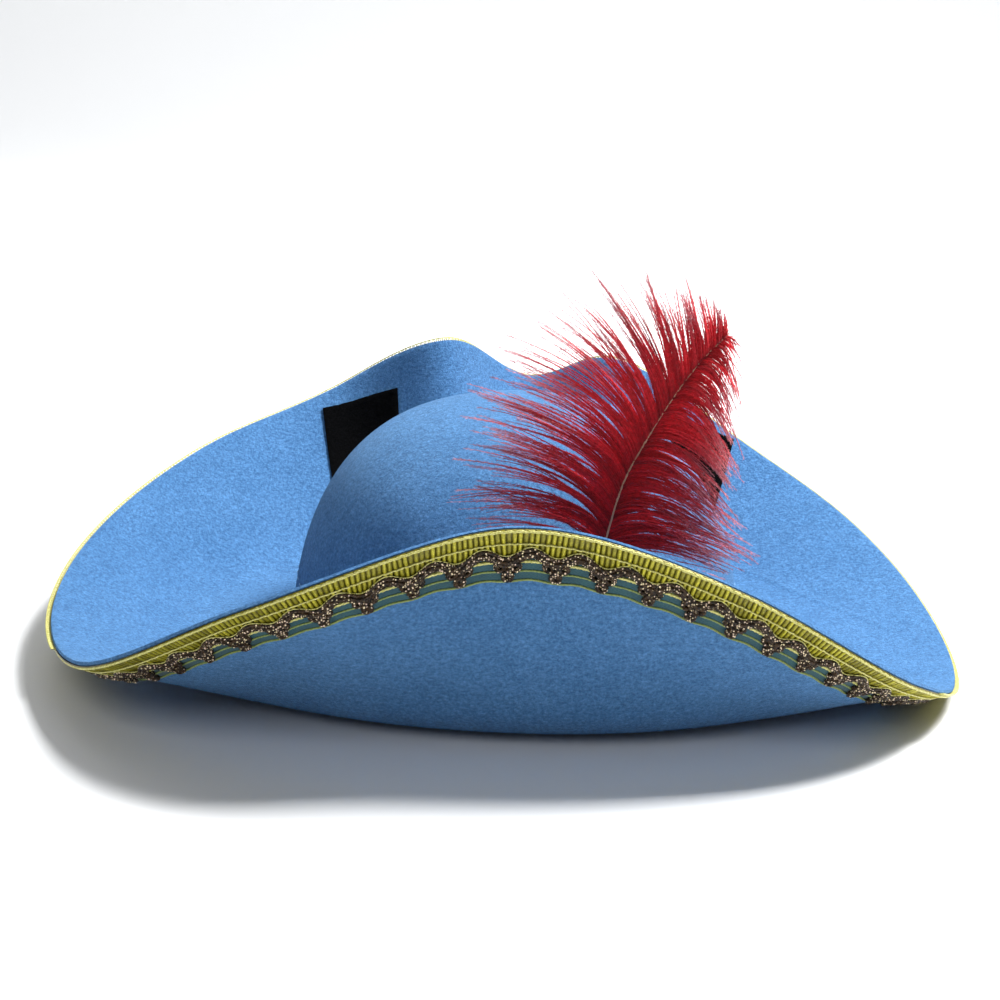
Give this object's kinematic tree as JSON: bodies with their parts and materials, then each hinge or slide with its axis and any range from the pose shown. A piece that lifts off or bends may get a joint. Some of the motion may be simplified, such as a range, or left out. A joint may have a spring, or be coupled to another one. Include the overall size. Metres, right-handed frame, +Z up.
{
  "type": "pirate hat",
  "caption": "Three-cornered felt pirate hat with a domed crown, cocked brim flaps, braided edge trim and an ostrich plume; worn on the head or set on a table.",
  "frame": {"origin": "centre of the head opening, on the plane that the crown's rim rests on", "axes": "+X across the hat to the viewer's right when the front flap faces the viewer, -Y towards the front flap, +Z up through the crown"},
  "size_m": [0.3593, 0.3469, 0.1636],
  "materials": {
    "felt": "blue moulded polyester felt, short nap",
    "braid": "ribbed metallic yarn braid",
    "gimp": "twisted antique-gold thread",
    "mesh": "sheer net with yellow-green threads",
    "hook_and_loop": "black hook-and-loop tape",
    "ribbon": "grosgrain ribbon",
    "thread": "sewing thread",
    "label": "blank woven label",
    "plume": "dyed ostrich barbs",
    "quill": "dyed feather shaft"
  },
  "bodies": {
    "hat": {"crown": "felt", "brim_felt": "felt", "crown_seam": "thread", "sweatband": "ribbon", "sweatband_stitches": "thread", "size_label": "label", "corner_braid": "braid", "corner_gimp": "gimp", "corner_mesh": "mesh", "hook_patch_left": "hook_and_loop", "hook_patch_right": "hook_and_loop", "feather_quill": "quill", "feather_vane_left": "plume", "feather_vane_right": "plume", "feather_tack": "thread"},
    "front_flap": {"front_felt": "felt", "front_braid": "braid", "front_gimp": "gimp", "front_mesh": "mesh"},
    "back_left_flap": {"back_left_felt": "felt", "back_left_braid": "braid", "back_left_gimp": "gimp", "back_left_mesh": "mesh", "loop_patch_left": "hook_and_loop"},
    "back_right_flap": {"back_right_felt": "felt", "back_right_braid": "braid", "back_right_gimp": "gimp", "back_right_mesh": "mesh", "loop_patch_right": "hook_and_loop"}
  },
  "joints": [
    {"name": "front_fold", "type": "hinge", "parent": "hat", "child": "front_flap", "pos_m": [0, -0.108, 0], "axis": [1, 0, 0], "range_deg": [0, 45]},
    {"name": "back_left_fold", "type": "hinge", "parent": "hat", "child": "back_left_flap", "pos_m": [-0.09141, 0.07142, 0], "axis": [-0.6157, -0.788, 0], "range_deg": [0, 25]},
    {"name": "back_right_fold", "type": "hinge", "parent": "hat", "child": "back_right_flap", "pos_m": [0.09141, 0.07142, 0], "axis": [-0.6157, 0.788, 0], "range_deg": [0, 25]}
  ]
}
